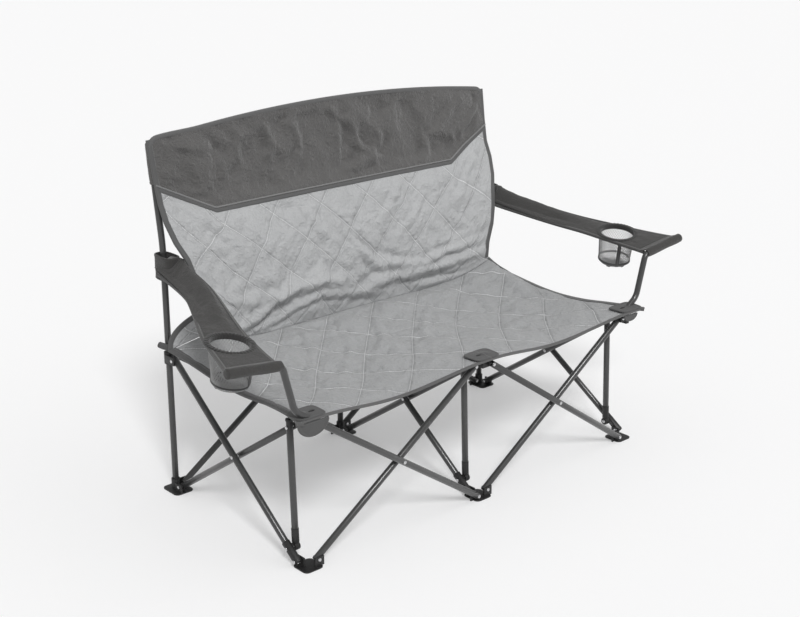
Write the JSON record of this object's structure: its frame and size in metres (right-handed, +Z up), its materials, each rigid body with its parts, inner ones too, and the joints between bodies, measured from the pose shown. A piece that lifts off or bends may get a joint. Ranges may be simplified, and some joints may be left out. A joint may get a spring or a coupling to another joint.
{
  "type": "folding camping loveseat",
  "caption": "Two-seat folding camp chair: crossed steel tubes on plastic feet, sliding collars on rear uprights, quilted seat and back, padded armrests with mesh cup holders.",
  "frame": {"origin": "on the floor, under the middle of the object's box", "axes": "+X to the viewer's right as seen from the front, +Y from the front row of feet to the back, +Z up"},
  "size_m": [1.5102, 0.621, 0.9301],
  "materials": {
    "dark_tube": "dark grey powder coat, semi gloss",
    "bright_steel": "plain steel rod",
    "black_plastic": "moulded black plastic",
    "seat_fabric": "mid grey polyester, quilted over thin padding",
    "back_fabric": "light grey polyester, quilted over thin padding",
    "trim_fabric": "dark grey polyester, plain weave",
    "net_fabric": "grey open mesh"
  },
  "bodies": {
    "rear_center_leg": {"rear_foot_center": "black_plastic", "upright_center": "dark_tube", "back_panel": "back_fabric", "back_band": "trim_fabric"},
    "rear_leg_left": {"rear_foot_left": "black_plastic", "upright_left": "dark_tube"},
    "rear_leg_right": {"rear_foot_right": "black_plastic", "upright_right": "dark_tube"},
    "rear_inner_left": {"rear_strut_inner_left": "dark_tube"},
    "rear_inner_right": {"rear_strut_inner_right": "dark_tube"},
    "rear_outer_left": {"rear_strut_outer_left": "dark_tube"},
    "rear_outer_right": {"rear_strut_outer_right": "dark_tube"},
    "collar_left": {"collar_left": "black_plastic"},
    "collar_center": {"collar_center": "black_plastic"},
    "collar_right": {"collar_right": "black_plastic"},
    "side_rear_left": {"side_strut_rear_left": "dark_tube"},
    "side_rear_center": {"side_strut_rear_center": "dark_tube"},
    "side_rear_right": {"side_strut_rear_right": "dark_tube"},
    "side_front_left": {"side_strut_front_left": "dark_tube", "strut_boot_left": "black_plastic"},
    "side_front_center": {"side_strut_front_center": "dark_tube", "strut_boot_center": "black_plastic"},
    "side_front_right": {"side_strut_front_right": "dark_tube", "strut_boot_right": "black_plastic"},
    "front_foot_left": {"front_foot_left": "black_plastic"},
    "front_foot_center": {"front_foot_center": "black_plastic"},
    "front_foot_right": {"front_foot_right": "black_plastic"},
    "hub_left": {"front_hub_left": "black_plastic", "corner_patch_left": "trim_fabric", "corner_pocket_left": "trim_fabric"},
    "hub_center": {"front_hub_center": "black_plastic", "center_patch": "trim_fabric"},
    "hub_right": {"front_hub_right": "black_plastic", "corner_patch_right": "trim_fabric", "corner_pocket_right": "trim_fabric"},
    "post_left": {"front_post_left": "dark_tube", "post_cap_left": "black_plastic"},
    "post_center": {"front_post_center": "dark_tube", "post_cap_center": "black_plastic"},
    "post_right": {"front_post_right": "dark_tube", "post_cap_right": "black_plastic"},
    "post_rod_left": {"post_shoe_left": "black_plastic", "post_rod_left": "bright_steel"},
    "post_rod_center": {"post_shoe_center": "black_plastic", "post_rod_center": "bright_steel"},
    "post_rod_right": {"post_shoe_right": "black_plastic", "post_rod_right": "bright_steel"},
    "arm_left": {"arm_tube_left": "dark_tube", "armrest_left": "trim_fabric", "cup_ring_left": "black_plastic", "cup_net_left": "net_fabric"},
    "arm_right": {"arm_tube_right": "dark_tube", "armrest_right": "trim_fabric", "cup_ring_right": "black_plastic", "cup_net_right": "net_fabric"},
    "front_plain_left": {"front_strut_left": "dark_tube"},
    "front_plain_right": {"front_strut_right": "dark_tube"},
    "seat_front": {"seat_front": "seat_fabric"},
    "seat_rear": {"seat_rear": "seat_fabric"}
  },
  "joints": [
    {"name": "fold", "type": "hinge", "parent": "rear_center_leg", "child": "rear_inner_left", "pos_m": [-0.0216, 0.27281, 0.015], "axis": [0, 1, 0], "range_deg": [0, 48.4], "deforming": ["back_panel", "back_band", "seat_front", "seat_rear", "armrest_left", "armrest_right", "corner_patch_left", "corner_patch_right", "cup_net_left", "cup_net_right"]},
    {"name": "rear_cross_left", "type": "hinge", "parent": "rear_inner_left", "child": "rear_outer_left", "pos_m": [-0.26996, 0.25581, 0.18505], "axis": [0, -1, 0], "range_deg": [0, 96.8]},
    {"name": "rear_foot_pin_left", "type": "hinge", "parent": "rear_outer_left", "child": "rear_leg_left", "pos_m": [-0.51832, 0.25581, 0.015], "axis": [0, 1, 0], "range_deg": [0, 48.4]},
    {"name": "collar_pin_left", "type": "hinge", "parent": "rear_inner_left", "child": "collar_left", "pos_m": [-0.51832, 0.27281, 0.35511], "axis": [0, -1, 0], "range_deg": [0, 48.4]},
    {"name": "rear_center_pin_right", "type": "hinge", "parent": "rear_center_leg", "child": "rear_inner_right", "pos_m": [0.0216, 0.27281, 0.015], "axis": [0, -1, 0], "range_deg": [0, 48.4]},
    {"name": "rear_cross_right", "type": "hinge", "parent": "rear_inner_right", "child": "rear_outer_right", "pos_m": [0.26996, 0.25581, 0.18505], "axis": [0, 1, 0], "range_deg": [0, 96.8]},
    {"name": "rear_foot_pin_right", "type": "hinge", "parent": "rear_outer_right", "child": "rear_leg_right", "pos_m": [0.51832, 0.25581, 0.015], "axis": [0, -1, 0], "range_deg": [0, 48.4]},
    {"name": "collar_pin_right", "type": "hinge", "parent": "rear_inner_right", "child": "collar_right", "pos_m": [0.51832, 0.27281, 0.35511], "axis": [0, 1, 0], "range_deg": [0, 48.4]},
    {"name": "side_rear_pin_left", "type": "hinge", "parent": "rear_leg_left", "child": "side_rear_left", "pos_m": [-0.53992, 0.23431, 0.015], "axis": [-1, 0, 0], "range_deg": [0, 48.4]},
    {"name": "side_cross_left", "type": "hinge", "parent": "side_rear_left", "child": "side_front_left", "pos_m": [-0.53992, -0.01405, 0.18505], "axis": [1, 0, 0], "range_deg": [0, 96.8]},
    {"name": "front_foot_pin_left", "type": "hinge", "parent": "side_front_left", "child": "front_foot_left", "pos_m": [-0.55942, -0.26241, 0.015], "axis": [-1, 0, 0], "range_deg": [0, 48.4]},
    {"name": "hub_pin_left", "type": "hinge", "parent": "side_rear_left", "child": "hub_left", "pos_m": [-0.53992, -0.26241, 0.35511], "axis": [1, 0, 0], "range_deg": [0, 48.4]},
    {"name": "post_pin_left", "type": "hinge", "parent": "side_rear_left", "child": "post_left", "pos_m": [-0.53992, -0.22118, 0.32688], "axis": [1, 0, 0], "range_deg": [0, 50.7]},
    {"name": "rod_pin_left", "type": "hinge", "parent": "side_front_left", "child": "post_rod_left", "pos_m": [-0.53992, -0.23272, 0.03533], "axis": [-1, 0, 0], "range_deg": [0, 46.2]},
    {"name": "side_rear_pin_center", "type": "hinge", "parent": "rear_center_leg", "child": "side_rear_center", "pos_m": [0, 0.23431, 0.015], "axis": [-1, 0, 0], "range_deg": [0, 48.4]},
    {"name": "side_cross_center", "type": "hinge", "parent": "side_rear_center", "child": "side_front_center", "pos_m": [0, -0.01405, 0.18505], "axis": [1, 0, 0], "range_deg": [0, 96.8]},
    {"name": "front_foot_pin_center", "type": "hinge", "parent": "side_front_center", "child": "front_foot_center", "pos_m": [-0.0195, -0.26241, 0.015], "axis": [-1, 0, 0], "range_deg": [0, 48.4]},
    {"name": "hub_pin_center", "type": "hinge", "parent": "side_rear_center", "child": "hub_center", "pos_m": [0, -0.26241, 0.35511], "axis": [1, 0, 0], "range_deg": [0, 48.4]},
    {"name": "post_pin_center", "type": "hinge", "parent": "side_rear_center", "child": "post_center", "pos_m": [0, -0.22118, 0.32688], "axis": [1, 0, 0], "range_deg": [0, 50.7]},
    {"name": "rod_pin_center", "type": "hinge", "parent": "side_front_center", "child": "post_rod_center", "pos_m": [0, -0.23272, 0.03533], "axis": [-1, 0, 0], "range_deg": [0, 46.2]},
    {"name": "collar_pin_center", "type": "hinge", "parent": "side_front_center", "child": "collar_center", "pos_m": [0, 0.23431, 0.35511], "axis": [-1, 0, 0], "range_deg": [0, 48.4]},
    {"name": "side_rear_pin_right", "type": "hinge", "parent": "rear_leg_right", "child": "side_rear_right", "pos_m": [0.53992, 0.23431, 0.015], "axis": [-1, 0, 0], "range_deg": [0, 48.4]},
    {"name": "side_cross_right", "type": "hinge", "parent": "side_rear_right", "child": "side_front_right", "pos_m": [0.53992, -0.01405, 0.18505], "axis": [1, 0, 0], "range_deg": [0, 96.8]},
    {"name": "front_foot_pin_right", "type": "hinge", "parent": "side_front_right", "child": "front_foot_right", "pos_m": [0.55942, -0.26241, 0.015], "axis": [-1, 0, 0], "range_deg": [0, 48.4]},
    {"name": "hub_pin_right", "type": "hinge", "parent": "side_rear_right", "child": "hub_right", "pos_m": [0.53992, -0.26241, 0.35511], "axis": [1, 0, 0], "range_deg": [0, 48.4]},
    {"name": "post_pin_right", "type": "hinge", "parent": "side_rear_right", "child": "post_right", "pos_m": [0.53992, -0.22118, 0.32688], "axis": [1, 0, 0], "range_deg": [0, 50.7]},
    {"name": "rod_pin_right", "type": "hinge", "parent": "side_front_right", "child": "post_rod_right", "pos_m": [0.53992, -0.23272, 0.03533], "axis": [-1, 0, 0], "range_deg": [0, 46.2]},
    {"name": "arm_pin_left", "type": "hinge", "parent": "front_foot_center", "child": "arm_left", "pos_m": [-0.0216, -0.29741, 0.015], "axis": [0, 1, 0], "range_deg": [0, 48.4]},
    {"name": "front_cross_left", "type": "hinge", "parent": "arm_left", "child": "front_plain_left", "pos_m": [-0.26996, -0.28041, 0.18505], "axis": [0, -1, 0], "range_deg": [0, 96.8]},
    {"name": "arm_pin_right", "type": "hinge", "parent": "front_foot_center", "child": "arm_right", "pos_m": [0.0216, -0.28041, 0.015], "axis": [0, -1, 0], "range_deg": [0, 48.4]},
    {"name": "front_cross_right", "type": "hinge", "parent": "arm_right", "child": "front_plain_right", "pos_m": [0.26996, -0.28041, 0.18505], "axis": [0, 1, 0], "range_deg": [0, 96.8]},
    {"name": "seat_front_hem", "type": "hinge", "parent": "hub_center", "child": "seat_front", "pos_m": [0, -0.28041, 0.374], "axis": [-1, 0, 0], "range_deg": [0, 79.7]},
    {"name": "seat_rear_hem", "type": "hinge", "parent": "collar_center", "child": "seat_rear", "pos_m": [0, 0.21159, 0.374], "axis": [1, 0, 0], "range_deg": [0, 79.7]}
  ],
  "couplings": [
    {"joint": "rear_cross_left", "follows": "fold", "ratio": 2},
    {"joint": "rear_foot_pin_left", "follows": "fold", "ratio": 1},
    {"joint": "collar_pin_left", "follows": "fold", "ratio": 1},
    {"joint": "rear_center_pin_right", "follows": "fold", "ratio": 1},
    {"joint": "rear_cross_right", "follows": "fold", "ratio": 2},
    {"joint": "rear_foot_pin_right", "follows": "fold", "ratio": 1},
    {"joint": "collar_pin_right", "follows": "fold", "ratio": 1},
    {"joint": "side_rear_pin_left", "follows": "fold", "ratio": 1},
    {"joint": "side_cross_left", "follows": "fold", "ratio": 2},
    {"joint": "front_foot_pin_left", "follows": "fold", "ratio": 1},
    {"joint": "hub_pin_left", "follows": "fold", "ratio": 1},
    {"joint": "post_pin_left", "follows": "fold", "ratio": 1.0465},
    {"joint": "rod_pin_left", "follows": "fold", "ratio": 0.9535},
    {"joint": "side_rear_pin_center", "follows": "fold", "ratio": 1},
    {"joint": "side_cross_center", "follows": "fold", "ratio": 2},
    {"joint": "front_foot_pin_center", "follows": "fold", "ratio": 1},
    {"joint": "hub_pin_center", "follows": "fold", "ratio": 1},
    {"joint": "post_pin_center", "follows": "fold", "ratio": 1.0465},
    {"joint": "rod_pin_center", "follows": "fold", "ratio": 0.9535},
    {"joint": "collar_pin_center", "follows": "fold", "ratio": 1},
    {"joint": "side_rear_pin_right", "follows": "fold", "ratio": 1},
    {"joint": "side_cross_right", "follows": "fold", "ratio": 2},
    {"joint": "front_foot_pin_right", "follows": "fold", "ratio": 1},
    {"joint": "hub_pin_right", "follows": "fold", "ratio": 1},
    {"joint": "post_pin_right", "follows": "fold", "ratio": 1.0465},
    {"joint": "rod_pin_right", "follows": "fold", "ratio": 0.9535},
    {"joint": "arm_pin_left", "follows": "fold", "ratio": 1},
    {"joint": "front_cross_left", "follows": "fold", "ratio": 2},
    {"joint": "arm_pin_right", "follows": "fold", "ratio": 1},
    {"joint": "front_cross_right", "follows": "fold", "ratio": 2},
    {"joint": "seat_front_hem", "follows": "fold", "ratio": 1.646},
    {"joint": "seat_rear_hem", "follows": "fold", "ratio": 1.646}
  ]
}
